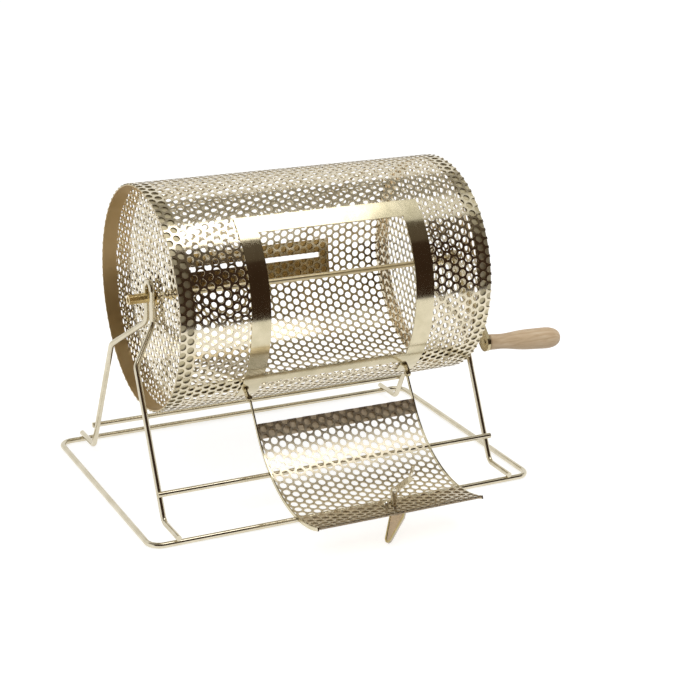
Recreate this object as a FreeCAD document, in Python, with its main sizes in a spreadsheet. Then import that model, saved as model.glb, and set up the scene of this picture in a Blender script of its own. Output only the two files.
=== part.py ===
import FreeCAD, Part
import math
import os
import Sketcher

# Raffle drum with crank: a perforated brass drum that turns in a bent wire stand.
# X runs along the drum's axle towards the crank, -Y is the front and +Z is up.
# The origin is the middle of the wire base on the floor. Sizes are in millimetres.
# Angles on the drum are counted about the axle, from the front upwards.

Vector = FreeCAD.Vector
Placement = FreeCAD.Placement
Rotation = FreeCAD.Rotation
AXLE_WAY = Vector(1, 0, 0)
UPWARDS = Vector(0, 0, 1)

doc = FreeCAD.newDocument("raffle_drum")
sheet = doc.addObject("Spreadsheet::Sheet", "Sizes")
subparts = []
cells = []


class Size:
    """A number together with the formula that ties it to the sheet."""

    def __init__(self, number, formula):
        self.number = float(number)
        self.formula = formula

    def __float__(self):
        return self.number

    def __neg__(self):
        return Size(-self.number, f"(0 - {self.formula})")

    def __add__(self, other):
        return Size(self.number + float(other), f"({self.formula} + {formula_of(other)})")

    def __sub__(self, other):
        return Size(self.number - float(other), f"({self.formula} - {formula_of(other)})")

    def __mul__(self, factor):
        return Size(self.number * float(factor), f"({self.formula} * {formula_of(factor)})")

    def __truediv__(self, divisor):
        return Size(self.number / float(divisor), f"({self.formula} / {formula_of(divisor)})")


def formula_of(value):
    return value.formula if isinstance(value, Size) else repr(float(value))


def size(alias, number, note):
    """Puts one driving dimension into the sheet."""
    cells.append(alias)
    row = len(cells)
    sheet.set(f"A{row}", note)
    sheet.set(f"B{row}", str(number))
    sheet.setAlias(f"B{row}", alias)
    return Size(number, f"Sizes.{alias}")


# Stand wire and base
wire_diameter = size("wire_diameter", 5.0, "round wire of the stand")
base_length = size("base_length", 371.4, "base loop along the axle, wire centre to centre")
base_depth = size("base_depth", 252.2, "base loop front to back, wire centre to centre")
base_bend = size("base_bend", 12.0, "bend radius of the base corners")
leg_plane = size("leg_plane", 162.1, "leg planes from the middle")
foot_reach = size("foot_reach", 93.9, "a leg's foot bend from the middle")
foot_overhang = size("foot_overhang", 3.0, "foot past the rail's centre")
leg_top_reach = size("leg_top_reach", 32.4, "a leg's upper bend from the middle")
leg_top_height = size("leg_top_height", 129.1, "height of a leg's upper bend")
loop_foot_drop = size("loop_foot_drop", 24.2, "bearing loop's lower bend below the axle")
loop_rise = size("loop_rise", 14.3, "bearing loop's top above the axle")
leg_bend = size("leg_bend", 9.0, "bend radius of the legs")
crossbar_height = size("crossbar_height", 30.9, "height of the crossbars")
crossbar_overhang = size("crossbar_overhang", 2.8, "crossbar past a leg's centre")

# Axle, bearings and hubs
axle_height = size("axle_height", 179.1, "height of the axle")
axle_diameter = size("axle_diameter", 5.0, "axle rod")
running_clearance = size("running_clearance", 0.05, "radial play of a turning shaft")
sleeve_diameter = size("sleeve_diameter", 9.0, "outside of a bearing sleeve")
sleeve_length = size("sleeve_length", 22.0, "length of a bearing sleeve")
oil_hole = size("oil_hole", 2.4, "oil hole in a bearing sleeve")
oil_hole_inset = size("oil_hole_inset", 4.5, "oil hole from the sleeve's outer end")
flange_diameter = size("flange_diameter", 18.0, "flange that holds a disc on the axle")
flange_thickness = size("flange_thickness", 1.5, "thickness of a hub flange")
hub_play = size("hub_play", 0.5, "end play between hub flange and sleeve")

# Drum
drum_diameter = size("drum_diameter", 201.6, "outside of the perforated shell")
drum_length = size("drum_length", 297.4, "length of the shell")
drum_shift = size("drum_shift", 2.5, "drum's middle towards the crank")
sheet_thickness = size("sheet_thickness", 0.8, "perforated sheet")
strip_thickness = size("strip_thickness", 1.0, "plain strips and hoops")
seat_gap = size("seat_gap", 0.3, "gap between curved sheets that lie on each other")
hoop_width = size("hoop_width", 13.5, "width of an end hoop")
window_middle = size("window_middle", 1.75, "window's middle from the drum's middle")
window_width = size("window_width", 139.2, "clear width of the window")
window_bottom = size("window_bottom", -32.0, "angle of the window's lower edge")
window_top = size("window_top", 43.5, "angle of the window's upper edge")
bar_span = size("bar_span", 9.0, "degrees that the bar over the window takes up")
lip_span = size("lip_span", 6.5, "degrees that the lip under the window takes up")
strap_width = size("strap_width", 17.8, "width of a strap beside the window")
strap_end = size("strap_end", -50.0, "angle of a strap's lower end")
seam_top = size("seam_top", -34.5, "angle of the seam strips' upper edge")
seam_bottom = size("seam_bottom", -45.0, "angle of the seam strips' lower edge")

# Ticket slot at the back
slot_bottom = size("slot_bottom", 188.2, "angle of the slot's lower edge")
slot_top = size("slot_top", 185.4, "angle of the slot's upper edge")
slot_length = size("slot_length", 146.0, "length of the ticket slot")
plate_bottom = size("plate_bottom", 197.3, "angle of the slot plate's lower edge")
plate_top = size("plate_top", 178.2, "angle of the slot plate's upper edge")
plate_length = size("plate_length", 166.8, "length of the slot plate")

# Perforation: real holes of 6.35 mm at 7.94 mm pitch, cut here at a multiple of both
hole_diameter = size("hole_diameter", 6.35, "hole in the real sheet")
hole_pitch = size("hole_pitch", 7.94, "hole pitch in the real sheet")
hole_multiple = size("hole_multiple", 3.0, "cut pattern against the real one")
opening_border = size("opening_border", 1.0, "whole sheet around the larger openings")
rim_margin = size("rim_margin", 2.0, "whole sheet inside a disc's rim")
hub_margin = size("hub_margin", 1.0, "whole sheet around a hub flange")
cut_slack = size("cut_slack", 3.0, "cutters past the sheets they cut")

# Crank and grip
crank_radius = size("crank_radius", 91.0, "axle to grip pin")
crank_angle = size("crank_angle", -45.0, "angle of the crank arm at rest")
crank_clearance = size("crank_clearance", 3.4, "crank arm beside the legs")
arm_width = size("arm_width", 16.5, "width of the crank arm")
arm_thickness = size("arm_thickness", 3.0, "thickness of the crank arm")
spacer_gap = size("spacer_gap", 0.4, "play between bearing sleeve and crank spacer")
nut_width = size("nut_width", 10.0, "axle nut across flats")
nut_height = size("nut_height", 4.0, "height of the axle nut")
axle_past_nut = size("axle_past_nut", 0.5, "axle end past the nut")
axle_inset = size("axle_inset", 1.0, "axle end inside the left sleeve's end")
pin_past_arm = size("pin_past_arm", 0.8, "grip pin behind the crank arm")
grip_step = size("grip_step", 1.0, "first step of the grip's neck")
grip_chamfer = size("grip_chamfer", 0.8, "chamfer of the grip's neck")
grip_length = size("grip_length", 78.5, "length of the wooden grip")
grip_diameter = size("grip_diameter", 20.0, "grip at its fullest")
grip_neck = size("grip_neck", 14.8, "grip at its neck")
grip_waist = size("grip_waist", 14.2, "grip at its waist")
grip_gap = size("grip_gap", 0.4, "play between washer and grip")
grip_droop = size("grip_droop", 4.0, "lean of the grip pin in degrees")
pin_diameter = size("pin_diameter", 6.0, "grip pin")
pin_length = size("pin_length", 55.0, "grip pin past the arm")
washer_diameter = size("washer_diameter", 13.0, "washer between arm and grip")
washer_thickness = size("washer_thickness", 0.8, "thickness of the grip washer")

# Door and its hinge
door_lap = size("door_lap", 7.4, "door panel past each side of the window")
door_top = size("door_top", 47.0, "angle of the door's free edge, shut")
door_bottom = size("door_bottom", -34.2, "angle of the door's hinged edge, shut")
door_gap = size("door_gap", 0.4, "play between door and straps, shut")
door_opening = size("door_opening", 116.0, "angle of the open door")
hinge_angle = size("hinge_angle", -46.9, "angle of the hinge pins on the drum")
hinge_stand = size("hinge_stand", 5.8, "hinge pin's centre above the strap")
hinge_band_span = size("hinge_band_span", 7.4, "degrees of the band at the hinged edge")
free_band_span = size("free_band_span", 21.0, "degrees of the band at the free edge")
side_thickness = size("side_thickness", 1.2, "door's side strips along the axle")
side_depth = size("side_depth", 3.0, "door's side strips across")
eye_diameter = size("eye_diameter", 6.2, "hinge eye at a side strip's end")
lug_spread = size("lug_spread", 1.7, "half the lug's foot in degrees")
hinge_pin = size("hinge_pin", 2.4, "hinge pin")
hinge_head = size("hinge_head", 4.2, "heads of a hinge pin")
hinge_head_height = size("hinge_head_height", 0.8, "thickness of a hinge pin's head")
lug_thickness = size("lug_thickness", 1.5, "hinge lug on a strap")
lug_play = size("lug_play", 0.3, "play between lug and eye")

# Latch
latch_angle = size("latch_angle", 31.5, "angle of the latch shaft on the shut door")
latch_offset = size("latch_offset", 7.0, "latch shaft from the window's middle")
tongue_turn = size("tongue_turn", -39.0, "direction of the unlocked tongue, from the axle")
shaft_diameter = size("shaft_diameter", 4.0, "latch shaft")
tongue_drop = size("tongue_drop", 11.0, "tongue inside the door's inner face")
tongue_length = size("tongue_length", 37.0, "tongue from its shaft to the bend")
tongue_width = size("tongue_width", 7.0, "width of the tongue")
tongue_thickness = size("tongue_thickness", 1.5, "thickness of the tongue")
finger_rise = size("finger_rise", 12.0, "bent finger at the tongue's end")
finger_lean = size("finger_lean", 4.0, "sideways lean of the finger")
finger_width = size("finger_width", 6.0, "width of the finger along the tongue")
latch_nut = size("latch_nut", 5.5, "latch nut across flats")
latch_nut_height = size("latch_nut_height", 2.0, "height of the latch nut")
latch_spacer = size("latch_spacer", 6.0, "tube on the latch shaft")
latch_play = size("latch_play", 0.3, "play of the latch on the door")
wing_lean = size("wing_lean", 32.7, "lean of the thumb wing away from the tongue in degrees")
wing_length = size("wing_length", 31.6, "thumb wing outside the door")
wing_root = size("wing_root", 11.2, "thumb wing's wide side from the shaft")
wing_edge = size("wing_edge", 2.4, "thumb wing's straight side from the shaft")
wing_tip = size("wing_tip", 4.2, "thumb wing's wide side near its tip")
wing_thickness = size("wing_thickness", 2.4, "thickness of the thumb wing")
boss_diameter = size("boss_diameter", 8.0, "boss that joins wing and shaft")
boss_height = size("boss_height", 5.0, "height of that boss")
boss_cap = size("boss_cap", 1.0, "end of the boss past the shaft")
knob_diameter = size("knob_diameter", 5.0, "stop knob beside the latch shaft")
knob_spacing = size("knob_spacing", 7.9, "stop knob from the latch shaft")

# Sizes that follow from the ones above
wire_radius = wire_diameter / 2
shell_outer = drum_diameter / 2
shell_inner = shell_outer - sheet_thickness
strip_inner = shell_outer + seat_gap
strap_outer = strip_inner + strip_thickness
hoop_outer = shell_inner - seat_gap
hoop_inner = hoop_outer - strip_thickness
drum_half = drum_length / 2
disc_face = drum_half - hoop_width
disc_back = disc_face - sheet_thickness - seat_gap
flange_face = disc_face + flange_thickness
sleeve_face = flange_face + hub_play
sleeve_end = sleeve_face + sleeve_length
washer_lift = washer_diameter / 2 * math.sin(math.radians(float(grip_droop)))
window_half = window_width / 2
door_half = window_half + door_lap
door_inner = strap_outer + door_gap
door_outer = door_inner + sheet_thickness
band_inner = door_outer + seat_gap
band_outer = band_inner + strip_thickness
hinge_radius = strap_outer + hinge_stand
arm_face = leg_plane + wire_radius + crank_clearance - drum_shift
arm_back = arm_face + arm_thickness
shaft_bore = shaft_diameter / 2 + running_clearance
latch_middle = window_middle + latch_offset


def point_at(radius, angle, along=0.0):
    """A point on the drum from its radius, its angle and its place along the axle."""
    turn = math.radians(float(angle))
    return Vector(float(along), -float(radius) * math.cos(turn), float(radius) * math.sin(turn))


def turned_to(place, angle):
    """Turns a piece that is built upright over the axle to its angle on the drum."""
    return place.multiply(Placement(Vector(), Rotation(AXLE_WAY, 90 - float(angle))))


def swapped(place):
    """Turns a piece end for end, so that a right-hand piece serves on the left."""
    return place.multiply(Placement(Vector(), Rotation(UPWARDS, 180)))


stand_place = Placement()
drum_place = Placement(Vector(float(drum_shift), 0, float(axle_height)), Rotation())
door_swing = Placement(Vector(), Rotation(AXLE_WAY, float(door_opening)),
                       point_at(hinge_radius, hinge_angle))
door_place = drum_place.multiply(door_swing)
latch_tilt = turned_to(door_place, latch_angle)
latch_place = latch_tilt.multiply(
    Placement(Vector(float(latch_middle), 0, 0), Rotation(UPWARDS, float(tongue_turn))))
crank_place = drum_place.multiply(
    Placement(Vector(), Rotation(AXLE_WAY, -float(crank_angle))))
grip_place = crank_place.multiply(
    Placement(Vector(float(arm_back), -float(crank_radius), 0),
              Rotation(AXLE_WAY, float(crank_angle)).multiply(
                  Rotation(Vector(0, 1, 0), float(grip_droop)))))


# How sub-parts are made

def bind(item, path, value):
    item.setExpression(path, formula_of(value))


def keep(item, label, place):
    """Names a finished sub-part and puts it in its place."""
    item.Label = label
    item.Placement = place
    subparts.append(item)
    return item


def add_shape(label, shape, place):
    feature = doc.addObject("Part::Feature", label)
    feature.Shape = shape
    return keep(feature, label, place.multiply(shape.Placement))


def outline(body, role, corners):
    """A closed outline of straight lines whose corners are tied to the sheet."""
    plane = [item for item in body.Origin.OriginFeatures if item.Role == role][0]
    sketch = body.newObject("Sketcher::SketchObject", f"{body.Name}_outline")
    sketch.AttachmentSupport = [(plane, "")]
    sketch.MapMode = "FlatFace"
    spots = [Vector(float(across), float(up), 0) for across, up in corners]
    for start, end in zip(spots, spots[1:] + spots[:1]):
        sketch.addGeometry(Part.LineSegment(start, end), False)
    for index, (across, up) in enumerate(corners):
        following = (index + 1) % len(corners)
        sketch.addConstraint(Sketcher.Constraint("Coincident", index, 2, following, 1))
        for kind, value, axis in (("DistanceX", across, -2), ("DistanceY", up, -1)):
            if float(value) == 0.0:
                sketch.addConstraint(Sketcher.Constraint("PointOnObject", index, 1, axis))
                continue
            rule = Sketcher.Constraint(kind, -1, 1, index, 1, float(value))
            name = f"{kind}_{index}"
            sketch.renameConstraint(sketch.addConstraint(rule), name)
            bind(sketch, f"Constraints.{name}", value)
    sketch.Visibility = False
    return sketch


def rectangle(left, right, low, high):
    return [(left, low), (right, low), (right, high), (left, high)]


def turned(label, corners, place, angle=360.0):
    """Turns an outline about the X axis, evenly to both sides."""
    body = doc.addObject("PartDesign::Body", label)
    turn_sketch = outline(body, "XZ_Plane", corners)
    turn = body.newObject("PartDesign::Revolution", f"{label}_turn")
    turn.Profile = turn_sketch
    turn.ReferenceAxis = (turn_sketch, ["H_Axis"])
    turn.Midplane = True
    bind(turn, "Angle", angle)
    return keep(body, label, place)


def curved_strip(label, left, right, inner, outer, first, last, place):
    """A strip that follows the drum from one angle to another."""
    middle = (float(first) + float(last)) / 2
    return turned(label, rectangle(left, right, inner, outer), turned_to(place, middle),
                  last - first)


def padded(label, role, corners, thickness, place):
    """Raises an outline by a thickness, half to each side of its plane."""
    body = doc.addObject("PartDesign::Body", label)
    pad_sketch = outline(body, role, corners)
    pad = body.newObject("PartDesign::Pad", f"{label}_pad")
    pad.Profile = pad_sketch
    pad.Midplane = True
    bind(pad, "Length", thickness)
    return keep(body, label, place)


def drill(body, role, middle, radius, depth):
    """Cuts a round hole through both sides of a body's plane."""
    plane = [item for item in body.Origin.OriginFeatures if item.Role == role][0]
    sketch = body.newObject("Sketcher::SketchObject", f"{body.Name}_hole")
    sketch.AttachmentSupport = [(plane, "")]
    sketch.MapMode = "FlatFace"
    spot = Vector(float(middle[0]), float(middle[1]), 0)
    sketch.addGeometry(Part.Circle(spot, UPWARDS, float(radius)), False)
    rules = [("Radius", Sketcher.Constraint("Radius", 0, float(radius)), radius)]
    for kind, value, axis in (("DistanceX", middle[0], -2), ("DistanceY", middle[1], -1)):
        if float(value) == 0.0:
            sketch.addConstraint(Sketcher.Constraint("PointOnObject", 0, 3, axis))
        else:
            rules.append((kind, Sketcher.Constraint(kind, -1, 1, 0, 3, float(value)), value))
    for name, rule, value in rules:
        sketch.renameConstraint(sketch.addConstraint(rule), name)
        bind(sketch, f"Constraints.{name}", value)
    pocket = body.newObject("PartDesign::Pocket", f"{body.Name}_pocket")
    pocket.Profile = sketch
    pocket.Midplane = True
    bind(pocket, "Length", depth)
    sketch.Visibility = False


def bent_wire(points, bends, radius):
    """A round wire along straight runs, with a bend radius at each inner corner."""
    way = points[1] - points[0]
    disc = Part.Face(Part.Wire([Part.Circle(points[0], way, radius).toShape()]))
    here = points[0]
    runs = []
    for index, bend in enumerate(bends, start=1):
        before = (points[index - 1] - points[index]).normalize()
        after = (points[index + 1] - points[index]).normalize()
        half = before.getAngle(after) / 2
        start = points[index] + before * (bend / math.tan(half))
        centre = points[index] + (before + after).normalize() * (bend / math.sin(half))
        axis = after.cross(before)
        turn = 180 - math.degrees(2 * half)
        runs.append(disc.extrude(start - here))
        disc = disc.copy()
        disc.translate(start - here)
        runs.append(disc.revolve(centre, axis, turn))
        disc = disc.copy()
        disc.rotate(centre, axis, turn)
        here = points[index] + after * (bend / math.tan(half))
    runs.append(disc.extrude(points[-1] - here))
    return runs[0].fuse(runs[1:])


def hexagon(across_flats):
    """A six-sided outline round the origin, in the plane of X and Y."""
    corner = across_flats / 2 / math.cos(math.radians(30))
    ends = []
    for step in range(6):
        turn = math.radians(60 * step)
        ends.append(Vector(corner * math.cos(turn), corner * math.sin(turn), 0))
    return Part.makePolygon(ends + ends[:1])


def hole_places(left, right, low, high):
    """Staggered places with their close rows one above the other."""
    pitch = float(hole_pitch) * float(hole_multiple)
    column_step = pitch * math.cos(math.radians(30))
    columns = max(1, int((right - left) / column_step) + 1)
    first = (left + right - (columns - 1) * column_step) / 2
    rows = max(1, int((high - low) / pitch + 0.5))
    for column in range(columns):
        shift = 0.25 if column % 2 else -0.25
        for row in range(rows):
            yield first + column * column_step, (low + high) / 2 + pitch * (
                row + shift - (rows - 1) / 2)


# Stand

def make_stand():
    """Base loop, two end wires, crossbars and bearing sleeves, all touching where welded."""
    radius = float(wire_radius)
    half_length = float(base_length) / 2
    half_depth = float(base_depth) / 2
    corners = [Vector(0, -half_depth, radius),
               Vector(half_length, -half_depth, radius),
               Vector(half_length, half_depth, radius),
               Vector(-half_length, half_depth, radius),
               Vector(-half_length, -half_depth, radius),
               Vector(0, -half_depth, radius)]
    add_shape("base_loop", bent_wire(corners, [float(base_bend)] * 4, radius), stand_place)
    for side, hand in ((-1, "left"), (1, "right")):
        loop_x = side * float(sleeve_face + wire_radius) + float(drum_shift)
        loop_y = float(sleeve_diameter) / 2 + radius
        leg_x = side * float(leg_plane)
        loop_top = float(axle_height + loop_rise)
        foot_height = 3 * radius
        half = [Vector(leg_x, -half_depth - float(foot_overhang), foot_height),
                Vector(leg_x, -float(foot_reach), foot_height),
                Vector(leg_x, -float(leg_top_reach), float(leg_top_height)),
                Vector(loop_x, -loop_y, float(axle_height - loop_foot_drop)),
                Vector(loop_x, -loop_y, loop_top)]
        way = half + [Vector(spot.x, -spot.y, spot.z) for spot in reversed(half)]
        bends = [float(leg_bend)] * 8
        bends[3] = loop_y * 0.99
        bends[4] = loop_y * 0.99
        add_shape(f"{hand}_stand_wire", bent_wire(way, bends, radius), stand_place)
        near = sleeve_face if side > 0 else -sleeve_end
        far = sleeve_end if side > 0 else -sleeve_face
        bore = axle_diameter / 2 + running_clearance
        sleeve = turned(f"{hand}_bearing_sleeve",
                        rectangle(near, far, bore, sleeve_diameter / 2), drum_place)
        hole = far - oil_hole_inset if side > 0 else near + oil_hole_inset
        drill_up(sleeve, hole, oil_hole / 2, sleeve_diameter)
    rise = float(leg_top_height) - 3 * radius
    run = float(foot_reach - leg_top_reach)
    slope = math.hypot(rise, run)
    leg_y = float(foot_reach) - (float(crossbar_height) - 3 * radius) * run / rise
    bar_y = leg_y + 2 * radius * slope / rise
    half = float(leg_plane + crossbar_overhang)
    for side, hand in ((-1, "front"), (1, "back")):
        rod = Part.makeCylinder(radius, 2 * half, Vector(-half, 0, 0), AXLE_WAY)
        place = Placement(Vector(0, side * bar_y, float(crossbar_height)), Rotation())
        add_shape(f"{hand}_crossbar", rod, place)


def drill_up(body, along, radius, reach):
    """Cuts a round hole from the axle upwards through a sleeve's wall."""
    plane = [item for item in body.Origin.OriginFeatures if item.Role == "XY_Plane"][0]
    sketch = body.newObject("Sketcher::SketchObject", f"{body.Name}_hole")
    sketch.AttachmentSupport = [(plane, "")]
    sketch.MapMode = "FlatFace"
    sketch.addGeometry(Part.Circle(Vector(float(along), 0, 0), UPWARDS, float(radius)), False)
    sketch.addConstraint(Sketcher.Constraint("PointOnObject", 0, 3, -1))
    for name, rule, value in (
            ("Radius", Sketcher.Constraint("Radius", 0, float(radius)), radius),
            ("Along", Sketcher.Constraint("DistanceX", -1, 1, 0, 3, float(along)), along)):
        sketch.renameConstraint(sketch.addConstraint(rule), name)
        bind(sketch, f"Constraints.{name}", value)
    pocket = body.newObject("PartDesign::Pocket", f"{body.Name}_pocket")
    pocket.Profile = sketch
    pocket.Reversed = True
    bind(pocket, "Length", reach)
    sketch.Visibility = False


# Perforated sheets

def sector(left, right, inner, outer, first, last):
    """A curved block over part of the drum, used as a sheet or to cut one."""
    corners = [Vector(left, 0, inner), Vector(right, 0, inner),
               Vector(right, 0, outer), Vector(left, 0, outer), Vector(left, 0, inner)]
    block = Part.Face(Part.makePolygon(corners)).revolve(Vector(), AXLE_WAY, last - first)
    block.rotate(Vector(), AXLE_WAY, 90 - last)
    return block


def radial_holes(left, right, first, last, inner, outer, blocked):
    """Six-sided cutters through a curved sheet, left out near its larger openings."""
    across = float(hole_diameter) * float(hole_multiple)
    low = math.radians(first) * inner
    high = math.radians(last) * inner
    cutters = []
    for along, arc in hole_places(left + across * 0.62, right - across * 0.62, low, high):
        angle = math.degrees(arc / inner)
        if blocked(along, angle, across / 2):
            continue
        cutter = Part.Face(hexagon(across)).extrude(Vector(0, 0, 2 * float(cut_slack) + outer - inner))
        cutter.translate(Vector(along, 0, inner - float(cut_slack)))
        cutter.rotate(Vector(), AXLE_WAY, 90 - angle)
        cutters.append(cutter)
    return cutters


def perforated_disc():
    """A round grille in the plane of Y and Z, with its outer face at X = 0."""
    radius = float(hoop_outer)
    across = float(hole_diameter) * float(hole_multiple)
    corner = across / 2 / math.cos(math.radians(30))
    clear_rim = radius - float(rim_margin) - corner
    clear_hub = float(flange_diameter) / 2 + float(hub_margin) + corner
    rings = [Part.Wire([Part.Circle(Vector(), UPWARDS, radius).toShape()]),
             Part.Wire([Part.Circle(Vector(), UPWARDS, float(axle_diameter) / 2).toShape()])]
    for across_disc, up in hole_places(-radius, radius, -radius, radius):
        if clear_hub < math.hypot(across_disc, up) < clear_rim:
            ring = hexagon(across)
            ring.translate(Vector(across_disc, up, 0))
            rings.append(ring)
    disc = Part.Face(rings, "Part::FaceMakerBullseye").extrude(
        Vector(0, 0, -float(sheet_thickness)))
    disc.rotate(Vector(), Vector(0, 1, 0), 90)
    return disc


def perforated_shell():
    """The drum's curved wall, open at the window and the ticket slot."""
    outer = float(shell_outer)
    inner = float(shell_inner)
    half = float(drum_half)
    left = float(window_middle - window_half)
    right = float(window_middle + window_half)
    slot_half = float(slot_length) / 2
    solid_ends = float(disc_face)

    openings = [(left, right, float(window_bottom), float(window_top)),
                (-slot_half, slot_half, float(slot_top), float(slot_bottom))]

    def blocked(along, angle, reach):
        spread = math.degrees((reach * 1.16 + float(opening_border)) / inner)
        reach += float(opening_border)
        turn = angle % 360
        for first_x, last_x, first, last in openings:
            if not first_x - reach < along < last_x + reach:
                continue
            for whole in (turn, turn - 360):
                if first - spread < whole < last + spread:
                    return True
        return abs(along) > solid_ends - reach

    tube = sector(-half, half, inner, outer, 0, 360)
    window = sector(left, right, inner - float(cut_slack), outer + float(cut_slack),
                    float(window_bottom), float(window_top))
    slot = sector(-slot_half, slot_half, inner - float(cut_slack), outer + float(cut_slack),
                  float(slot_top), float(slot_bottom))
    holes = radial_holes(-half, half, 0, 360, inner, outer, blocked)
    return tube.cut([window, slot] + holes)


def perforated_door():
    """The door's curved sheet with a bore for the latch shaft."""
    inner = float(door_inner)
    outer = float(door_outer)
    half = float(door_half)
    middle = float(window_middle)
    first = float(door_bottom)
    last = float(door_top)
    panel = sector(middle - half, middle + half, inner, outer, first, last)
    holes = radial_holes(middle - half, middle + half, float(door_bottom + hinge_band_span),
                         float(door_top - free_band_span), inner, outer,
                         lambda along, angle, reach: False)
    bore = Part.makeCylinder(float(shaft_bore), 4 * float(cut_slack),
                             Vector(float(latch_middle), 0, inner - 2 * float(cut_slack)))
    bore.rotate(Vector(), AXLE_WAY, 90 - float(latch_angle))
    return panel.cut(holes + [bore])


# Drum

def make_drum():
    add_shape("drum_shell", perforated_shell(), drum_place)
    disc = perforated_disc()
    for side, hand, place in ((-1, "left", swapped(drum_place)), (1, "right", drum_place)):
        face = Placement(Vector(float(disc_face), 0, 0), Rotation())
        add_shape(f"{hand}_end_disc", disc.copy(), place.multiply(face))
        turned(f"{hand}_end_hoop",
               rectangle(disc_face, drum_half, hoop_inner, hoop_outer), place)
        turned(f"{hand}_hub_flange",
               rectangle(disc_face, flange_face, axle_diameter / 2, flange_diameter / 2), place)
        near = window_middle + window_half if side > 0 else window_middle - window_half - strap_width
        curved_strip(f"{hand}_strap", near, near + strap_width, strip_inner, strap_outer,
                     strap_end, window_top + bar_span, drum_place)
        start = near if side > 0 else -disc_back
        end = disc_back if side > 0 else near + strap_width
        curved_strip(f"{hand}_seam_strip", start, end, hoop_inner, hoop_outer, seam_bottom,
                     seam_top, drum_place)
    left = window_middle - window_half
    right = window_middle + window_half
    curved_strip("top_bar", left, right, strip_inner, strap_outer, window_top,
                 window_top + bar_span, drum_place)
    curved_strip("bottom_lip", left, right, strip_inner, strap_outer,
                 window_bottom - lip_span, window_bottom, drum_place)
    plate_half = plate_length / 2
    slot_half = slot_length / 2
    plate = sector(-float(plate_half), float(plate_half), float(strip_inner), float(strap_outer),
                   float(plate_top), float(plate_bottom))
    slot = sector(-float(slot_half), float(slot_half), float(shell_outer) - float(cut_slack),
                  float(strap_outer) + float(cut_slack), float(slot_top), float(slot_bottom))
    add_shape("slot_plate", plate.cut(slot), drum_place)
    turned("axle_rod", rectangle(axle_inset - sleeve_end, arm_back + nut_height + axle_past_nut, 0.0,
                                 axle_diameter / 2), drum_place)


# Crank

def make_crank():
    """Spacer, flat arm, axle nut and the pin that carries the grip."""
    turned("crank_spacer", rectangle(sleeve_end + spacer_gap, arm_face, axle_diameter / 2,
                                     sleeve_diameter / 2), drum_place)
    half = float(arm_width) / 2
    reach = float(crank_radius)
    thickness = float(arm_thickness)
    face = float(arm_face)
    bar = Part.makeBox(thickness, reach, 2 * half, Vector(face, -reach, -half))
    ends = [Part.makeCylinder(half, thickness, Vector(face, spot, 0), AXLE_WAY)
            for spot in (0, -reach)]
    axle_bore = Part.makeCylinder(float(axle_diameter) / 2, thickness, Vector(face, 0, 0), AXLE_WAY)
    arm = bar.fuse(ends).removeSplitter().cut(axle_bore)
    pin_way = grip_place.Rotation.multVec(AXLE_WAY)
    local_way = crank_place.Rotation.inverted().multVec(pin_way)
    pin_start = Vector(float(arm_back), -reach, 0) - local_way * 2 * thickness
    pin_bore = Part.makeCylinder(float(pin_diameter) / 2, 4 * thickness, pin_start, local_way)
    add_shape("crank_arm", arm.cut(pin_bore), crank_place)
    nut = Part.Face(hexagon(float(nut_width))).extrude(Vector(0, 0, float(nut_height)))
    nut = nut.cut(Part.makeCylinder(float(axle_diameter) / 2, float(nut_height)))
    nut.rotate(Vector(), Vector(0, 1, 0), 90)
    add_shape("axle_nut", nut, crank_place.multiply(Placement(Vector(float(arm_back), 0, 0),
                                                              Rotation())))
    pin_back = -(arm_thickness + pin_past_arm)
    turned("grip_pin", rectangle(pin_back, pin_length, 0.0, pin_diameter / 2), grip_place)
    washer_face = washer_lift + washer_thickness
    turned("grip_washer", rectangle(washer_lift, washer_face, pin_diameter / 2,
                                    washer_diameter / 2), grip_place)
    start = washer_face + grip_gap
    bore = pin_diameter / 2 + running_clearance
    grip = lathed_grip(float(start)).cut(
        Part.makeCylinder(float(bore), float(pin_length + grip_step - start),
                          Vector(float(start), 0, 0), AXLE_WAY))
    add_shape("wooden_grip", grip, grip_place)


def lathed_grip(start):
    """A smooth outline with a slim neck and a round end, turned about the grip's pin."""
    length = float(grip_length)
    fullest = float(grip_diameter) / 2
    neck = float(grip_neck) / 2
    shoulder = Vector(start + float(grip_step), neck, 0)
    tip = Vector(start + length, 0, 0)
    side = Part.BSplineCurve()
    side.interpolate(Points=[shoulder,
                             Vector(start + length * 0.17, float(grip_waist) / 2, 0),
                             Vector(start + length * 0.45, fullest * 0.92, 0),
                             Vector(start + length * 0.72, fullest, 0),
                             Vector(start + length * 0.93, fullest * 0.84, 0),
                             tip],
                     InitialTangent=AXLE_WAY, FinalTangent=Vector(0, -1, 0))
    rim = Vector(start, neck - float(grip_chamfer), 0)
    middle = Vector(start, 0, 0)
    edges = [Part.makeLine(middle, rim), Part.makeLine(rim, shoulder), side.toShape(),
             Part.makeLine(tip, middle)]
    return Part.Face(Part.Wire(edges)).revolve(Vector(), AXLE_WAY, 360)


# Door

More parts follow.
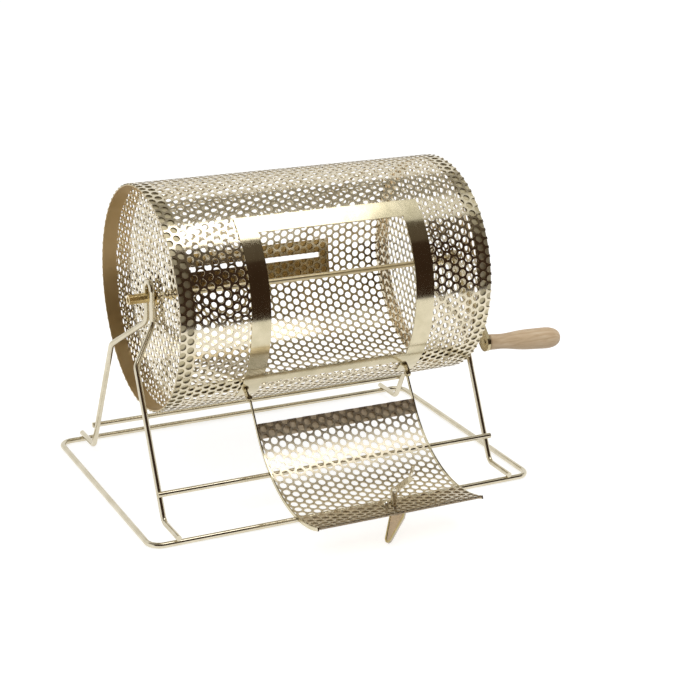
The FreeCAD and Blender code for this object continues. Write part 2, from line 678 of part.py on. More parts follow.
def make_door():
    add_shape("door_panel", perforated_door(), door_place)
    left = window_middle - door_half
    right = window_middle + door_half
    curved_strip("door_hinge_band", left, right, band_inner, band_outer, door_bottom,
                 door_bottom + hinge_band_span, door_place)
    band = sector(float(left), float(right), float(band_inner), float(band_outer),
                  float(door_top - free_band_span), float(door_top))
    bore = Part.makeCylinder(float(shaft_bore), 4 * float(cut_slack),
                             Vector(float(latch_middle), 0, float(door_inner) - 2 * float(cut_slack)))
    bore.rotate(Vector(), AXLE_WAY, 90 - float(latch_angle))
    add_shape("door_free_band", band.cut(bore), door_place)
    for side, hand in ((-1, "left"), (1, "right")):
        make_side(side, hand)
    knob_place = turned_to(door_place, latch_angle).multiply(
        Placement(Vector(float(latch_middle - knob_spacing), 0, float(door_inner - seat_gap)),
                  Rotation(Vector(0, 1, 0), 90)))
    half = knob_diameter / 2
    turned("stop_knob", [(0.0, 0.0), (0.0, half * 0.7), (half * 0.35, half * 0.95),
                         (half * 0.8, half), (half * 1.3, half * 0.87), (half * 1.65, half * 0.5),
                         (half * 1.8, 0.0)], knob_place)


def make_side(side, hand):
    """One side strip with its hinge eye, and the lug and pin that carry it."""
    edge = float(window_middle) + side * float(door_half)
    outside = edge + side * float(side_thickness)
    near = min(edge, outside)
    inner = float(door_inner)
    outer = inner + float(side_depth)
    strip = sector(near, near + float(side_thickness), inner, outer, float(door_bottom),
                   float(door_top))
    pin_spot = point_at(hinge_radius, hinge_angle)
    heel = point_at((inner + outer) / 2, float(door_bottom))
    across = (pin_spot - heel).cross(AXLE_WAY).normalize() * (float(side_depth) / 2)
    sunk = (heel - pin_spot).normalize() * (float(side_depth) / 4)
    corners = [heel + across + sunk, heel - across + sunk, pin_spot - across, pin_spot + across]
    bar = Part.Face(Part.makePolygon(corners + corners[:1]))
    bar.translate(Vector(near, 0, 0))
    bar = bar.extrude(Vector(float(side_thickness), 0, 0))
    eye = Part.makeCylinder(float(eye_diameter) / 2, float(side_thickness),
                            pin_spot + Vector(near, 0, 0), AXLE_WAY)
    pin_radius = float(hinge_pin) / 2
    bore = Part.makeCylinder(pin_radius + float(running_clearance), 3 * float(side_thickness),
                             pin_spot + Vector(near - float(side_thickness), 0, 0), AXLE_WAY)
    add_shape(f"{hand}_door_side", strip.fuse([bar, eye]).removeSplitter().cut(bore), door_place)
    thickness = float(lug_thickness)
    lug_near = outside + side * float(lug_play)
    lug_left = min(lug_near, lug_near + side * thickness)
    disc = Part.makeCylinder(float(eye_diameter) / 2, thickness,
                             pin_spot + Vector(lug_left, 0, 0), AXLE_WAY)
    foot = sector(lug_left, lug_left + thickness, float(strap_outer + seat_gap), float(hinge_radius),
                  float(hinge_angle - lug_spread), float(hinge_angle + lug_spread))
    hole = Part.makeCylinder(pin_radius, 3 * thickness,
                             pin_spot + Vector(lug_left - thickness, 0, 0), AXLE_WAY)
    add_shape(f"{hand}_hinge_lug", disc.fuse(foot).cut(hole), drum_place)
    head_height = float(hinge_head_height)
    inner_head = edge - side * (float(lug_play) + head_height)
    outer_head = lug_near + side * (thickness + head_height)
    start = min(inner_head, outer_head)
    length = abs(outer_head - inner_head)
    shank = Part.makeCylinder(pin_radius, length, pin_spot + Vector(start, 0, 0), AXLE_WAY)
    heads = [Part.makeCylinder(float(hinge_head) / 2, head_height,
                               pin_spot + Vector(spot, 0, 0), AXLE_WAY)
             for spot in (start, start + length - head_height)]
    add_shape(f"{hand}_hinge_pin", shank.fuse(heads).removeSplitter(), drum_place)


# Latch

def make_latch():
    """A shaft through the door, a thumb wing outside and a bent tongue inside."""
    wing_foot = band_outer + latch_play
    tongue_out = door_inner - tongue_drop
    tongue_in = tongue_out - tongue_thickness
    nut_in = tongue_in - latch_nut_height
    shaft_end = wing_foot + boss_height - boss_cap
    radius = shaft_diameter / 2
    shaft_way = latch_place.multiply(Placement(Vector(), Rotation(Vector(0, 1, 0), -90)))
    turned("latch_shaft", rectangle(nut_in - latch_nut_height / 2, shaft_end, 0.0, radius),
           shaft_way)
    turned("latch_spacer", rectangle(tongue_out, door_inner - latch_play, radius,
                                     latch_spacer / 2), shaft_way)
    nut = Part.Face(hexagon(float(latch_nut))).extrude(Vector(0, 0, float(latch_nut_height)))
    nut = nut.cut(Part.makeCylinder(float(radius), float(latch_nut_height)))
    nut.translate(Vector(0, 0, float(nut_in)))
    add_shape("latch_nut", nut, latch_place)
    add_shape("thumb_wing", thumb_wing(float(wing_foot), float(shaft_end)), latch_place)
    half = float(tongue_width) / 2
    reach = float(tongue_length)
    blade = Part.makeBox(reach, 2 * half, float(tongue_thickness),
                         Vector(0, -half, float(tongue_in)))
    eye = Part.makeCylinder(half, float(tongue_thickness), Vector(0, 0, float(tongue_in)))
    thick = float(tongue_thickness)
    edge = thick / 2
    low = float(tongue_out)
    high = float(tongue_in - finger_rise)
    lean = float(finger_lean)
    corners = [Vector(0, -edge, low), Vector(0, edge, low), Vector(0, edge + lean, high),
               Vector(0, lean - edge, high)]
    finger = Part.Face(Part.makePolygon(corners + corners[:1]))
    finger.translate(Vector(reach - float(finger_width), 0, 0))
    finger = finger.extrude(Vector(float(finger_width), 0, 0))
    bore = Part.makeCylinder(float(radius), 3 * thick, Vector(0, 0, float(tongue_in) - thick))
    add_shape("latch_tongue", blade.fuse([eye, finger]).removeSplitter().cut(bore), latch_place)


def thumb_wing(foot, shaft_end):
    """A leaning plate that grows out of a boss on the shaft's outer end."""
    length = float(wing_length)
    edge = -float(wing_edge)
    root = float(wing_root)
    tip = float(wing_tip)
    start = float(wing_thickness) / 2 * math.tan(math.radians(float(wing_lean)))
    outline_spots = [(edge, start), (root * 0.8, start), (root, length * 0.12),
                     (root, length * 0.25), (tip, length * 0.88), (tip * 0.75, length * 0.96),
                     (tip * 0.3, length), (edge * 0.4, length * 0.98), (edge, length * 0.9)]
    corners = [Vector(0, across, along) for across, along in outline_spots]
    plate = Part.Face(Part.makePolygon(corners + corners[:1]))
    plate.translate(Vector(-float(wing_thickness) / 2, 0, 0))
    plate = plate.extrude(Vector(float(wing_thickness), 0, 0))
    plate.rotate(Vector(), Vector(0, 1, 0), -float(wing_lean))
    plate.translate(Vector(0, 0, foot))
    boss = Part.makeCylinder(float(boss_diameter) / 2, float(boss_height), Vector(0, 0, foot))
    socket = Part.makeCylinder(float(shaft_diameter) / 2, shaft_end - foot, Vector(0, 0, foot))
    return plate.fuse(boss).cut(socket)


make_stand()
make_drum()
make_crank()
make_door()
make_latch()
doc.recompute()

# Every sub-part is tested before it is written
os.makedirs("parts", exist_ok=True)
for item in doc.Objects:
    if "Invalid" in item.State or "Error" in item.State:
        raise RuntimeError(f"{item.Label} did not build: {item.State}")
for item in subparts:
    if item.Shape.isNull() or not item.Shape.isValid() or len(item.Shape.Solids) != 1:
        raise RuntimeError(f"{item.Label} is not one valid solid")
    item.Shape.exportStep(f"parts/{item.Label}.step")
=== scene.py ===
import math

import bmesh
import bpy
from mathutils import Matrix, Vector


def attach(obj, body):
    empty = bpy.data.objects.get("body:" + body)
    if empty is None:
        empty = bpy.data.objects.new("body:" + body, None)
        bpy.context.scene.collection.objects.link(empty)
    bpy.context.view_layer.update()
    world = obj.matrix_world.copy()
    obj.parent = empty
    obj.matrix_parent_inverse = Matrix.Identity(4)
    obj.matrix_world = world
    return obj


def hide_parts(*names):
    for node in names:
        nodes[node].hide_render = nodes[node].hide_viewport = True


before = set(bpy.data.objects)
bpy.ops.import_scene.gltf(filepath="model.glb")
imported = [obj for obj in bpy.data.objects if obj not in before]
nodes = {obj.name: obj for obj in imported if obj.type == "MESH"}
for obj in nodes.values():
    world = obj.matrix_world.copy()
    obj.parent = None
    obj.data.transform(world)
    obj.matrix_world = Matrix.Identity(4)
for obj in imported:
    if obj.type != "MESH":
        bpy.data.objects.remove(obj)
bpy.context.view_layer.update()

# Sizes of the drum and its perforated sheets, in metres and degrees, as in the solids
AXLE = Vector((0.0025, 0.0, 0.1791))
SHEET = 0.0008
SHELL_OUTER = 0.1008
SHELL_HALF_LENGTH = 0.1487
SEAM_ANGLE = -70.0
ROWS_AROUND = 78
WINDOW_LEFT = -0.06785
WINDOW_RIGHT = 0.07135
WINDOW_LOW = -32.0
WINDOW_HIGH = 43.5
SLOT_LEFT = -0.073
SLOT_RIGHT = 0.073
SLOT_LOW = 185.4
SLOT_HIGH = 188.2
HOLE_PITCH = 0.00808
HOLE_RADIUS = 0.0032
DISC_FACE = 0.1352
DISC_RADIUS = 0.0997
HOOP_MIDDLE = 0.0992
DOOR_LEFT = -0.07525
DOOR_RIGHT = 0.07875
DOOR_LOW = -34.2
DOOR_HIGH = 47.0
DOOR_INNER = 0.1025
HINGE_RADIUS = 0.1079
HINGE_ANGLE = -46.9
DOOR_OPENING = 116.0

# Mesh building
STAGGER = math.cos(math.radians(30))
RIM_STEPS = 12
MERGE_SHARE = 0.01
MERGE_DISTANCE = 1e-6
CUT_DISTANCE = 1e-7
CUT_MARGIN = 0.01
SHARP_ANGLE = math.radians(40)


def add_object(name, mesh):
    piece = bpy.data.objects.new(name, mesh)
    bpy.context.collection.objects.link(piece)
    return piece


def add_mesh(name, points, faces):
    mesh = bpy.data.meshes.new(name)
    mesh.from_pydata(points, [], faces)
    return mesh


def hex_sheet(name, low_u, high_u, low_v, high_v, pitch_u, pitch_v):
    """A flat sheet with round holes; columns run along v and every other one is shifted."""
    columns = range(math.floor(low_u / pitch_u) - 1, math.ceil(high_u / pitch_u) + 2)
    rows = range(math.floor(low_v / pitch_v) - 1, math.ceil(high_v / pitch_v) + 2)
    third = pitch_u * 2 / 3
    half = pitch_v / 2
    corners = [(third, 0), (third / 2, half), (-third / 2, half),
               (-third, 0), (-third / 2, -half), (third / 2, -half)]
    border = []
    for index, corner in enumerate(corners):
        after = corners[(index + 1) % len(corners)]
        border.append(corner)
        border.append(((corner[0] + after[0]) / 2, (corner[1] + after[1]) / 2))
    rim = []
    for step in range(RIM_STEPS):
        angle = 2 * math.pi * step / RIM_STEPS
        rim.append((HOLE_RADIUS * math.cos(angle), HOLE_RADIUS * math.sin(angle)))
    points = []
    faces = []
    for column in columns:
        shift = 0.5 if column % 2 else 0.0
        for row in rows:
            u = column * pitch_u
            v = (row + shift) * pitch_v
            first = len(points)
            inner = first + RIM_STEPS
            points += [(u + x, v + y, 0.0) for x, y in border]
            points += [(u + x, v + y, 0.0) for x, y in rim]
            for step in range(RIM_STEPS):
                after = (step + 1) % RIM_STEPS
                faces.append((first + step, first + after, inner + after, inner + step))
    mesh = add_mesh(name, points, faces)
    sheet = bmesh.new()
    sheet.from_mesh(mesh)
    bmesh.ops.remove_doubles(sheet, verts=sheet.verts, dist=pitch_v * MERGE_SHARE)
    trim(sheet, (low_u, 0, 0), (-1, 0, 0))
    trim(sheet, (high_u, 0, 0), (1, 0, 0))
    trim(sheet, (0, low_v, 0), (0, -1, 0))
    trim(sheet, (0, high_v, 0), (0, 1, 0))
    return mesh, sheet


def trim(sheet, place, way):
    """Cuts away all that lies past a line."""
    everything = sheet.verts[:] + sheet.edges[:] + sheet.faces[:]
    bmesh.ops.bisect_plane(sheet, geom=everything, dist=CUT_DISTANCE, plane_co=place,
                           plane_no=way, clear_outer=True)


def cut_out(sheet, low_u, high_u, low_v, high_v):
    """Cuts a rectangle out of a flat sheet."""
    def score(place, way):
        near = []
        for face in sheet.faces:
            middle = face.calc_center_median()
            if low_u - CUT_MARGIN < middle.x < high_u + CUT_MARGIN \
                    and low_v - CUT_MARGIN < middle.y < high_v + CUT_MARGIN:
                near.append(face)
        edges = list({edge for face in near for edge in face.edges})
        verts = list({vert for face in near for vert in face.verts})
        bmesh.ops.bisect_plane(sheet, geom=verts + edges + near, dist=CUT_DISTANCE,
                               plane_co=place, plane_no=way)

    score((low_u, 0, 0), (1, 0, 0))
    score((high_u, 0, 0), (1, 0, 0))
    score((0, low_v, 0), (0, 1, 0))
    score((0, high_v, 0), (0, 1, 0))
    gone = []
    for face in sheet.faces:
        middle = face.calc_center_median()
        if low_u < middle.x < high_u and low_v < middle.y < high_v:
            gone.append(face)
    bmesh.ops.delete(sheet, geom=gone, context="FACES")


def finish_sheet(mesh, sheet, bend, body, node):
    """Bends a flat sheet into place, thickens it and hands it to its body."""
    for vert in sheet.verts:
        vert.co = bend(vert.co.x, vert.co.y)
    bmesh.ops.remove_doubles(sheet, verts=sheet.verts, dist=MERGE_DISTANCE)
    bmesh.ops.recalc_face_normals(sheet, faces=sheet.faces)
    for face in sheet.faces:
        face.smooth = True
    sheet.to_mesh(mesh)
    sheet.free()
    piece = add_object(mesh.name, mesh)
    solid = piece.modifiers.new("thickness", "SOLIDIFY")
    solid.thickness = SHEET
    solid.offset = 0.0
    solid.use_even_offset = False
    split = piece.modifiers.new("flat webs", "EDGE_SPLIT")
    split.split_angle = SHARP_ANGLE
    split.use_edge_sharp = False
    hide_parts(node)
    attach(piece, body)
    return piece


def on_drum(radius, angle, along):
    """A point of the drum from its radius, its angle up from the front and its place along."""
    turn = math.radians(angle)
    return AXLE + Vector((along, -radius * math.cos(turn), radius * math.sin(turn)))


# Perforated sheets at the real pitch

def make_shell():
    middle = SHELL_OUTER - SHEET / 2
    around = 2 * math.pi * middle
    pitch = around / ROWS_AROUND
    mesh, sheet = hex_sheet("shell_sheet", -SHELL_HALF_LENGTH, SHELL_HALF_LENGTH, 0.0, around,
                            pitch * STAGGER, pitch)

    def at(angle):
        return math.radians((angle - SEAM_ANGLE) % 360) * middle

    cut_out(sheet, WINDOW_LEFT, WINDOW_RIGHT, at(WINDOW_LOW), at(WINDOW_HIGH))
    cut_out(sheet, SLOT_LEFT, SLOT_RIGHT, at(SLOT_LOW), at(SLOT_HIGH))

    def bend(u, v):
        return on_drum(middle, SEAM_ANGLE + math.degrees(v / middle), u)

    return finish_sheet(mesh, sheet, bend, "drum", "drum_shell")


def make_disc(hand, side):
    reach = DISC_RADIUS
    mesh, sheet = hex_sheet(f"{hand}_disc_sheet", -reach, reach, -reach, reach,
                            HOLE_PITCH * STAGGER, HOLE_PITCH)
    gone = []
    for face in sheet.faces:
        if all(vert.co.length > reach - MERGE_DISTANCE for vert in face.verts):
            gone.append(face)
    bmesh.ops.delete(sheet, geom=gone, context="FACES")
    for vert in sheet.verts:
        if vert.co.length > reach:
            vert.co *= reach / vert.co.length
    along = side * (DISC_FACE - SHEET / 2)

    def bend(u, v):
        return AXLE + Vector((along, v, u))

    return finish_sheet(mesh, sheet, bend, "drum", f"{hand}_end_disc")


def make_door():
    middle = DOOR_INNER + SHEET / 2
    low = math.radians(DOOR_LOW) * middle
    high = math.radians(DOOR_HIGH) * middle
    mesh, sheet = hex_sheet("door_sheet", DOOR_LEFT, DOOR_RIGHT, low, high,
                            HOLE_PITCH * STAGGER, HOLE_PITCH)
    hinge = on_drum(HINGE_RADIUS, HINGE_ANGLE, 0.0)
    swing = Matrix.Translation(hinge) @ Matrix.Rotation(math.radians(DOOR_OPENING), 4, "X") \
        @ Matrix.Translation(-hinge)

    def bend(u, v):
        return swing @ on_drum(middle, math.degrees(v / middle), u)

    return finish_sheet(mesh, sheet, bend, "door", "door_panel")


shell = make_shell()
left_disc = make_disc("left", -1)
right_disc = make_disc("right", 1)
door = make_door()


# Material building

# Noise scales in marks per metre: colour drift, polishing marks, soft ripples and wood grain
DRIFT_SCALE = 60.0
POLISH_SCALE = 420.0
WAVE_SCALE = 90.0
HOOP_DRIFT_SCALE = 35.0
GRAIN_SCALE = 420.0
GRAIN_STRETCH = 0.12
WAVE_HEIGHT = 0.0004
GRAIN_HEIGHT = 0.0002
HOOP_BLEND = 0.0002
HOOP_ROUGH = 0.48
WOOD_ROUGH = 0.45


def shader(name):
    material = bpy.data.materials.new(name)
    material.use_nodes = True
    tree = material.node_tree
    surface = tree.nodes["Principled BSDF"]
    return material, tree, surface


def bare_material(name):
    """A material with nothing but its output node."""
    material = bpy.data.materials.new(name)
    material.use_nodes = True
    tree = material.node_tree
    tree.nodes.clear()
    out = tree.nodes.new("ShaderNodeOutputMaterial")
    return material, tree, out


def add(tree, kind, **values):
    """Adds a node; each value goes to the input of that name, or else to the setting."""
    node = tree.nodes.new(kind)
    for key, value in values.items():
        if key in node.inputs:
            node.inputs[key].default_value = value
        else:
            setattr(node, key, value)
    return node


def solid_colour(red, green, blue):
    return (red, green, blue, 1.0)


def ramp(tree, stops):
    """A colour ramp from pairs of place and colour."""
    node = tree.nodes.new("ShaderNodeValToRGB")
    elements = node.color_ramp.elements
    elements[0].position = stops[0][0]
    elements[0].color = solid_colour(*stops[0][1])
    elements[1].position = stops[-1][0]
    elements[1].color = solid_colour(*stops[-1][1])
    for place, colour in stops[1:-1]:
        element = elements.new(place)
        element.color = solid_colour(*colour)
    return node


def brass(name, dark, light, rough, ripple):
    """Polished brass plating: slight colour drift, soft ripples and fine polishing marks."""
    material, tree, surface = shader(name)
    place = tree.nodes.new("ShaderNodeTexCoord")
    drift = add(tree, "ShaderNodeTexNoise", Scale=DRIFT_SCALE, Detail=3.0)
    tree.links.new(place.outputs["Object"], drift.inputs["Vector"])
    tint = ramp(tree, [(0.35, dark), (0.65, light)])
    tree.links.new(drift.outputs["Fac"], tint.inputs["Fac"])
    tree.links.new(tint.outputs["Color"], surface.inputs["Base Color"])
    polish = add(tree, "ShaderNodeTexNoise", Scale=POLISH_SCALE, Detail=4.0)
    tree.links.new(place.outputs["Object"], polish.inputs["Vector"])
    smooth = (rough * 0.8,) * 3
    scuffed = (rough * 1.25,) * 3
    gloss = ramp(tree, [(0.3, smooth), (0.7, scuffed)])
    tree.links.new(polish.outputs["Fac"], gloss.inputs["Fac"])
    tree.links.new(gloss.outputs["Color"], surface.inputs["Roughness"])
    wave = add(tree, "ShaderNodeTexNoise", Scale=WAVE_SCALE, Detail=2.0)
    tree.links.new(place.outputs["Object"], wave.inputs["Vector"])
    bump = add(tree, "ShaderNodeBump", Strength=ripple, Distance=WAVE_HEIGHT)
    tree.links.new(wave.outputs["Fac"], bump.inputs["Height"])
    tree.links.new(bump.outputs["Normal"], surface.inputs["Normal"])
    surface.inputs["Metallic"].default_value = 1.0
    return material


def hoop_material():
    """Pale outer face like the strips and a warm, browner, darker inner face, told apart by
    radius; the inner face's colour is painted reflection of the drum's own brass around it.
    """
    material, tree, surface = shader("hoop_brass")
    place = tree.nodes.new("ShaderNodeTexCoord")
    from_axle = add(tree, "ShaderNodeVectorMath", operation="SUBTRACT")
    from_axle.inputs[1].default_value = AXLE
    tree.links.new(place.outputs["Object"], from_axle.inputs[0])
    across = add(tree, "ShaderNodeVectorMath", operation="MULTIPLY")
    across.inputs[1].default_value = (0.0, 1.0, 1.0)
    tree.links.new(from_axle.outputs["Vector"], across.inputs[0])
    radius = add(tree, "ShaderNodeVectorMath", operation="LENGTH")
    tree.links.new(across.outputs["Vector"], radius.inputs[0])
    side = add(tree, "ShaderNodeMapRange")
    side.inputs["From Min"].default_value = HOOP_MIDDLE - HOOP_BLEND
    side.inputs["From Max"].default_value = HOOP_MIDDLE + HOOP_BLEND
    tree.links.new(radius.outputs["Value"], side.inputs["Value"])
    drift = add(tree, "ShaderNodeTexNoise", Scale=HOOP_DRIFT_SCALE, Detail=2.0)
    tree.links.new(place.outputs["Object"], drift.inputs["Vector"])
    # Inner face: warm, darker colour painted in as reflection of the drum's brass around it
    painted_inner_reflection = ramp(tree, [(0.35, (0.50, 0.36, 0.18)), (0.65, (0.57, 0.42, 0.23))])
    pale = ramp(tree, [(0.35, (0.56, 0.50, 0.33)), (0.65, (0.64, 0.57, 0.40))])
    tree.links.new(drift.outputs["Fac"], painted_inner_reflection.inputs["Fac"])
    tree.links.new(drift.outputs["Fac"], pale.inputs["Fac"])
    both = add(tree, "ShaderNodeMix", data_type="RGBA")
    tree.links.new(side.outputs["Result"], both.inputs["Factor"])
    tree.links.new(painted_inner_reflection.outputs["Color"], both.inputs["A"])
    tree.links.new(pale.outputs["Color"], both.inputs["B"])
    tree.links.new(both.outputs["Result"], surface.inputs["Base Color"])
    surface.inputs["Metallic"].default_value = 1.0
    surface.inputs["Roughness"].default_value = HOOP_ROUGH
    return material


def wood():
    """Turned wood with its grain along the grip."""
    material, tree, surface = shader("turned_wood")
    place = tree.nodes.new("ShaderNodeTexCoord")
    stretch = add(tree, "ShaderNodeMapping")
    stretch.inputs["Scale"].default_value = (GRAIN_STRETCH, 1.0, 1.0)
    tree.links.new(place.outputs["Object"], stretch.inputs["Vector"])
    grain = add(tree, "ShaderNodeTexNoise", Scale=GRAIN_SCALE, Detail=6.0, Distortion=0.6)
    tree.links.new(stretch.outputs["Vector"], grain.inputs["Vector"])
    tint = ramp(tree, [(0.3, (0.55, 0.38, 0.22)), (0.55, (0.68, 0.50, 0.31)),
                       (0.75, (0.76, 0.60, 0.41))])
    tree.links.new(grain.outputs["Fac"], tint.inputs["Fac"])
    tree.links.new(tint.outputs["Color"], surface.inputs["Base Color"])
    bump = add(tree, "ShaderNodeBump", Strength=0.25, Distance=GRAIN_HEIGHT)
    tree.links.new(grain.outputs["Fac"], bump.inputs["Height"])
    tree.links.new(bump.outputs["Normal"], surface.inputs["Normal"])
    surface.inputs["Roughness"].default_value = WOOD_ROUGH
    return material


# Materials

sheet_brass = brass("sheet_brass", dark=(0.64, 0.57, 0.42), light=(0.74, 0.67, 0.52),
                    rough=0.13, ripple=0.06)
strip_brass = brass("strip_brass", dark=(0.56, 0.50, 0.34), light=(0.66, 0.59, 0.42),
                    rough=0.13, ripple=0.05)
wire_brass = brass("wire_brass", dark=(0.60, 0.54, 0.40), light=(0.70, 0.64, 0.50),
                   rough=0.16, ripple=0.04)
# Slot plate inside the drum: its darker, browner colour is painted shade and warm reflection of
# the drum's inside
inner_shade_brass = brass("inner_shade_brass", dark=(0.54, 0.38, 0.16), light=(0.62, 0.46, 0.22),
                    rough=0.24, ripple=0.03)
gold_brass = brass("gold_brass", dark=(0.66, 0.52, 0.26), light=(0.76, 0.62, 0.34),
                   rough=0.16, ripple=0.02)
rod_brass = brass("rod_brass", dark=(0.82, 0.71, 0.46), light=(0.90, 0.79, 0.54),
                  rough=0.34, ripple=0.01)
lug_brass = brass("lug_brass", dark=(0.54, 0.47, 0.31), light=(0.64, 0.56, 0.38),
                  rough=0.18, ripple=0.02)
bright_brass = brass("bright_brass", dark=(0.74, 0.68, 0.54), light=(0.84, 0.78, 0.64),
                     rough=0.12, ripple=0.01)
dark_brass = brass("dark_brass", dark=(0.48, 0.40, 0.24), light=(0.58, 0.49, 0.31),
                   rough=0.20, ripple=0.02)
door_brass = brass("door_brass", dark=(0.66, 0.59, 0.45), light=(0.76, 0.69, 0.55),
                   rough=0.30, ripple=0.04)
# Door's hinge and free bands: the higher roughness is real; the paler colour, lighter than the
# door sheet, is painted sheen
sheen_band_brass = brass("sheen_band_brass", dark=(0.76, 0.64, 0.46), light=(0.86, 0.74, 0.56),
                   rough=0.50, ripple=0.03)
rim_brass = brass("rim_brass", dark=(0.50, 0.46, 0.27), light=(0.58, 0.53, 0.33),
                  rough=0.28, ripple=0.02)
wing_brass = brass("wing_brass", dark=(0.50, 0.45, 0.39), light=(0.58, 0.52, 0.46),
                   rough=0.30, ripple=0.02)
hoop_brass = hoop_material()
turned_wood = wood()

coats = {}


def coat(material, *names):
    for name in names:
        coats[name] = material


coat(strip_brass, "left_strap", "right_strap", "top_bar", "bottom_lip", "left_seam_strip",
     "right_seam_strip", "left_door_side", "right_door_side")
coat(sheen_band_brass, "door_hinge_band", "door_free_band")
coat(wire_brass, "base_loop", "left_stand_wire", "right_stand_wire", "front_crossbar",
     "back_crossbar")
coat(hoop_brass, "left_end_hoop", "right_end_hoop")
coat(gold_brass, "left_bearing_sleeve", "right_bearing_sleeve", "left_hub_flange",
     "right_hub_flange")
coat(lug_brass, "left_hinge_lug", "right_hinge_lug", "left_hinge_pin", "right_hinge_pin")
coat(bright_brass, "stop_knob", "latch_shaft", "latch_spacer", "latch_nut", "latch_tongue")
coat(rod_brass, "axle_rod")
coat(inner_shade_brass, "slot_plate")
coat(wing_brass, "thumb_wing")
coat(turned_wood, "wooden_grip")
for name, node in nodes.items():
    node.data.materials.clear()
    node.data.materials.append(coats.get(name, dark_brass))
for piece in (shell, left_disc, right_disc):
    piece.data.materials.append(sheet_brass)
door.data.materials.append(door_brass)


# Raised rim on the outer face of the thumb wing

# Place of the latch's own axes, with z along its shaft
LATCH_PLACE = Vector((0.01125, -0.176855, 0.132042))
LATCH_X = Vector((0.777146, 0.626423, -0.060318))
LATCH_Z = Vector((0.0, -0.095846, -0.995396))
WING_ALONG = 0.1049
WING_LEAN = math.radians(32.7)
WING_HALF_THICKNESS = 0.0012

# Corners of the wing, in millimetres across and along
WING_OUTLINE = [(-2.4, 0.77), (8.96, 0.77), (11.2, 3.8), (11.2, 7.9), (4.2, 27.8), (3.15, 30.3),
                (1.26, 31.6), (-0.96, 31.0), (-2.4, 28.4)]

# Section of the rim: how far in from the outline and how far out of the face
RIM_SECTION = [(0.00005, -0.0003), (0.0004, 0.0008), (0.0017, 0.0008), (0.0021, -0.0003)]


def inward_normals(outline):
    """At each corner, the direction that points into the outline."""
    middle = sum(outline, Vector((0.0, 0.0))) / len(outline)
    normals = []
    for index, corner in enumerate(outline):
        following = outline[(index + 1) % len(outline)]
        before = (corner - outline[index - 1]).normalized()
        after = (following - corner).normalized()
        along = before + after
        normal = Vector((-along.y, along.x)).normalized()
        if normal.dot(middle - corner) < 0:
            normal = -normal
        normals.append(normal)
    return normals


def make_wing_rim():
    axes = Matrix((LATCH_X, LATCH_Z.cross(LATCH_X), LATCH_Z)).transposed().to_4x4()
    place = Matrix.Translation(LATCH_PLACE) @ axes \
        @ Matrix.Translation((0.0, 0.0, WING_ALONG)) @ Matrix.Rotation(-WING_LEAN, 4, "Y")
    outline = [Vector(corner) * 0.001 for corner in WING_OUTLINE]
    inward = inward_normals(outline)
    points = []
    for inset, height in RIM_SECTION:
        for corner, normal in zip(outline, inward):
            spot = corner + normal * inset
            points.append(place @ Vector((-WING_HALF_THICKNESS - height, spot.x, spot.y)))
    faces = []
    count = len(outline)
    rows = len(RIM_SECTION)
    for row in range(rows):
        low = row * count
        high = (row + 1) % rows * count
        for step in range(count):
            after = (step + 1) % count
            faces.append((low + step, low + after, high + after, high + step))
    mesh = add_mesh("thumb_wing_rim", points, faces)
    solid = bmesh.new()
    solid.from_mesh(mesh)
    bmesh.ops.recalc_face_normals(solid, faces=solid.faces)
    solid.to_mesh(mesh)
    solid.free()
    rim = add_object("thumb_wing_rim", mesh)
    mesh.materials.append(rim_brass)
    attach(rim, "latch")
    return rim


make_wing_rim()


# Floor and world

FLOOR_REACH = 6
FLOOR_DROP = 0.0006
FLOOR_GREY = 0.6
FLOOR_LIFT = 0.68
WORLD_LIGHT = 0.6
WORLD_SEEN = 1.0
WHITE = solid_colour(1.0, 1.0, 1.0)


def flat_corners(left, right, front, back, height):
    return [(left, front, height), (right, front, height), (right, back, height),
            (left, back, height)]


def seen_directly(tree):
    """One for camera, glossy and transmission rays, and zero for the light on the object."""
    path = tree.nodes.new("ShaderNodeLightPath")
    first = add(tree, "ShaderNodeMath", operation="MAXIMUM")
    tree.links.new(path.outputs["Is Camera Ray"], first.inputs[0])
    tree.links.new(path.outputs["Is Glossy Ray"], first.inputs[1])
    second = add(tree, "ShaderNodeMath", operation="MAXIMUM")
    tree.links.new(first.outputs["Value"], second.inputs[0])
    tree.links.new(path.outputs["Is Transmission Ray"], second.inputs[1])
    return second.outputs["Value"]


def floor_material():
    """A white floor that still takes the object's shadow."""
    material, tree, out = bare_material("floor")
    grey = solid_colour(FLOOR_GREY, FLOOR_GREY, FLOOR_GREY)
    plain = add(tree, "ShaderNodeBsdfDiffuse", Color=grey)
    glow = add(tree, "ShaderNodeEmission", Color=WHITE)
    lift = add(tree, "ShaderNodeMath", operation="MULTIPLY")
    lift.inputs[1].default_value = FLOOR_LIFT
    tree.links.new(seen_directly(tree), lift.inputs[0])
    tree.links.new(lift.outputs["Value"], glow.inputs["Strength"])
    both = tree.nodes.new("ShaderNodeAddShader")
    tree.links.new(plain.outputs["BSDF"], both.inputs[0])
    tree.links.new(glow.outputs["Emission"], both.inputs[1])
    tree.links.new(both.outputs["Shader"], out.inputs["Surface"])
    return material


floor_corners = flat_corners(-FLOOR_REACH, FLOOR_REACH, -FLOOR_REACH, FLOOR_REACH, 0)
floor = add_object("floor", add_mesh("floor", floor_corners, [(0, 1, 2, 3)]))
floor.data.materials.append(floor_material())
floor.location.z = -FLOOR_DROP

world = bpy.data.worlds.new("studio")
bpy.context.scene.world = world
world.use_nodes = True
sky = world.node_tree
background = sky.nodes["Background"]
mix = sky.nodes.new("ShaderNodeMapRange")
mix.inputs["To Min"].default_value = WORLD_LIGHT
mix.inputs["To Max"].default_value = WORLD_SEEN
sky.links.new(seen_directly(sky), mix.inputs["Value"])
sky.links.new(mix.outputs["Result"], background.inputs["Strength"])
background.inputs["Color"].default_value = WHITE


# Studio around the object, which shows only in the metal's reflections

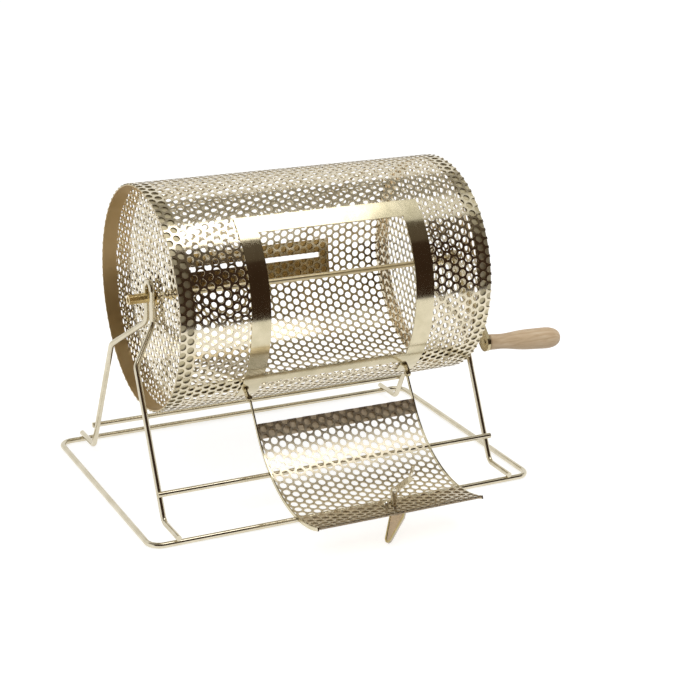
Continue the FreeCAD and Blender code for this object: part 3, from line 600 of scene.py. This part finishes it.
DARK = (0.048, 0.028, 0.018)
DIM = (0.118, 0.094, 0.070)
GREY = (0.34, 0.32, 0.28)
PALE = (0.84, 0.84, 0.80)
ROOM_HALF_WIDTH = 4
ROOM_FRONT = -2.6
ROOM_BACK = 1.4
WALL_TOP = 3.0
CEILING = 2.4
DIM_CEILING_BACK = -0.9
TABLE_BACK = -0.62
TABLE_HEIGHT = 0.002
LAMP_LEFT = -0.10
LAMP_RIGHT = 0.88
LAMP_FRONT = -0.9
LAMP_BACK = -0.1
LAMP_HEIGHT = 1.9
GLOW_RIGHT = 1.9


def card(name, colour, corners):
    """A sheet of one brightness that shows only in the metal's reflections."""
    material, tree, out = bare_material(name)
    glow = add(tree, "ShaderNodeEmission", Color=solid_colour(*colour), Strength=1.0)
    tree.links.new(glow.outputs["Emission"], out.inputs["Surface"])
    piece = add_object(name, add_mesh(name, corners, [(0, 1, 2, 3)]))
    piece.data.materials.append(material)
    piece.visible_camera = False
    piece.visible_diffuse = False
    piece.visible_shadow = False
    return piece


def level_card(name, colour, front, back, height):
    return card(name, colour, flat_corners(-ROOM_HALF_WIDTH, ROOM_HALF_WIDTH, front, back, height))


level_card("dark_table", DARK, ROOM_FRONT, TABLE_BACK, TABLE_HEIGHT)
card("dark_wall", DARK, [(-ROOM_HALF_WIDTH, ROOM_FRONT, 0.0), (ROOM_HALF_WIDTH, ROOM_FRONT, 0.0),
                         (ROOM_HALF_WIDTH, ROOM_FRONT, WALL_TOP),
                         (-ROOM_HALF_WIDTH, ROOM_FRONT, WALL_TOP)])
level_card("dim_ceiling", DIM, ROOM_FRONT, DIM_CEILING_BACK, CEILING)
level_card("grey_ceiling", GREY, DIM_CEILING_BACK, ROOM_BACK, CEILING)
card("side_glow", PALE, flat_corners(LAMP_RIGHT, GLOW_RIGHT, LAMP_FRONT, LAMP_BACK, LAMP_HEIGHT))


# Lamps

def area(name, place, target, width, depth, power):
    light = bpy.data.lights.new(name, "AREA")
    light.shape = "RECTANGLE"
    light.size = width
    light.size_y = depth
    light.energy = power
    lamp = add_object(name, light)
    lamp.location = place
    lamp.rotation_euler = (Vector(target) - Vector(place)).to_track_quat("-Z", "Y").to_euler()
    return lamp


lamp_x = (LAMP_LEFT + LAMP_RIGHT) / 2
lamp_y = (LAMP_FRONT + LAMP_BACK) / 2
area("key", (lamp_x, lamp_y, LAMP_HEIGHT), (lamp_x, lamp_y, 0.0), width=LAMP_RIGHT - LAMP_LEFT,
     depth=LAMP_BACK - LAMP_FRONT, power=7.4)
fill = area("fill", (-1.2, -1.2, 1.4), (0, 0, 0.1), width=1.0, depth=1.0, power=7)
fill.visible_glossy = False


# Camera, fitted to the photograph

PICTURE_WIDTH = 700.0
FOCAL_PIXELS = 1714.2
SENSOR_WIDTH = 36.0
CAMERA_PLACE = (-0.6248, -1.3572, 0.6367)
AZIMUTH = math.radians(-26.804)
ELEVATION = math.radians(19.371)
ROLL = math.radians(0.998)

camera_data = bpy.data.cameras.new("camera")
camera_data.sensor_width = SENSOR_WIDTH
camera_data.lens = FOCAL_PIXELS * SENSOR_WIDTH / PICTURE_WIDTH
camera = add_object("camera", camera_data)
toward = Vector((-math.sin(AZIMUTH) * math.cos(ELEVATION), math.cos(AZIMUTH) * math.cos(ELEVATION),
                 -math.sin(ELEVATION)))
level_right = toward.cross(Vector((0, 0, 1))).normalized()
level_up = level_right.cross(toward)
right = level_right * math.cos(ROLL) + level_up * math.sin(ROLL)
up = level_up * math.cos(ROLL) - level_right * math.sin(ROLL)
turn = Matrix((right, up, -toward)).transposed().to_4x4()
camera.matrix_world = Matrix.Translation(CAMERA_PLACE) @ turn
bpy.context.scene.camera = camera
bpy.context.scene.view_settings.view_transform = "Standard"
